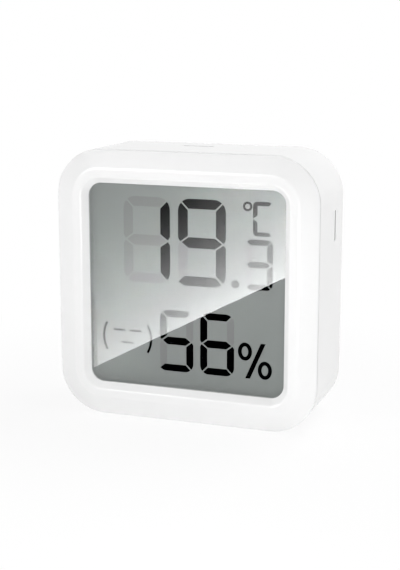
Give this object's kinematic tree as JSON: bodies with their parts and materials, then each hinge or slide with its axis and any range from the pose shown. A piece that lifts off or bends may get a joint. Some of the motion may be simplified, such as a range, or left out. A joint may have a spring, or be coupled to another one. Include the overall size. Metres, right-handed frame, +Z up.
{
  "type": "temperature and humidity sensor",
  "caption": "Small square white thermo-hygrometer: bevelled front with a reflective display window, vented case, rear battery door, pairing button and wall keyhole.",
  "frame": {"origin": "middle of the bottom of the bounding box, on the surface that the case stands on", "axes": "+X to the viewer's right when facing the display, +Y from the display to the back, +Z up"},
  "size_m": [0.056, 0.0216, 0.056],
  "materials": {
    "white_shell": "moulded satin white ABS",
    "window": "clear polished acrylic",
    "tape": "thin black adhesive foam tape",
    "gasket": "black foam gasket",
    "polariser": "anti-glare film",
    "display_glass": "thin display glass",
    "reflector": "matt grey reflective film",
    "zebra": "silicone rubber with fine conducting layers",
    "holder": "moulded white ABS",
    "board": "green solder mask on glass epoxy",
    "screw": "zinc-plated steel",
    "radio_board": "dark solder mask on glass epoxy",
    "shield": "tinned steel sheet",
    "resin": "black epoxy drop",
    "chip": "black moulded package",
    "crystal_can": "nickel-plated can",
    "capacitor": "tan ceramic",
    "switch_housing": "black moulded nylon",
    "switch_cover": "stamped sheet",
    "plunger": "black moulded nylon",
    "button": "moulded satin light grey ABS",
    "cell_can": "nickel-plated steel",
    "cell_sleeve": "printed shrink film, left plain",
    "contact": "nickel-plated spring steel"
  },
  "bodies": {
    "root": {"front_cover": "white_shell", "window_lens": "window", "lens_tape": "tape", "display_gasket": "gasket", "display_polariser": "polariser", "display_front_glass": "display_glass", "display_rear_glass": "display_glass", "display_reflector": "reflector", "zebra_strip_upper": "zebra", "zebra_strip_lower": "zebra", "display_holder": "holder", "main_board": "board", "board_screws": "screw", "radio_board": "radio_board", "radio_shield": "shield", "display_driver": "resin", "humidity_sensor": "chip", "board_crystal": "crystal_can", "board_capacitors": "capacitor", "switch_body": "switch_housing", "switch_cover": "switch_cover", "rear_housing": "white_shell", "lower_cell_can": "cell_can", "lower_cell_sleeve": "cell_sleeve", "upper_cell_can": "cell_can", "upper_cell_sleeve": "cell_sleeve", "contact_bridge": "contact", "contact_positive": "contact", "contact_negative": "contact", "bridge_spring": "contact", "negative_spring": "contact"},
    "battery_door": {"battery_door": "white_shell"},
    "pairing_button": {"pairing_button": "button", "switch_plunger": "plunger"}
  },
  "joints": [
    {"name": "battery_door_hinge", "type": "hinge", "parent": "root", "child": "battery_door", "pos_m": [0, 0.01075, 0.0033], "axis": [-1, 0, 0], "range_deg": [0, 50]},
    {"name": "pairing_button_press", "type": "slide", "parent": "root", "child": "pairing_button", "axis": [0, -1, 0], "range_m": [0, 0.00025], "stiffness_N_per_m": 1200}
  ]
}
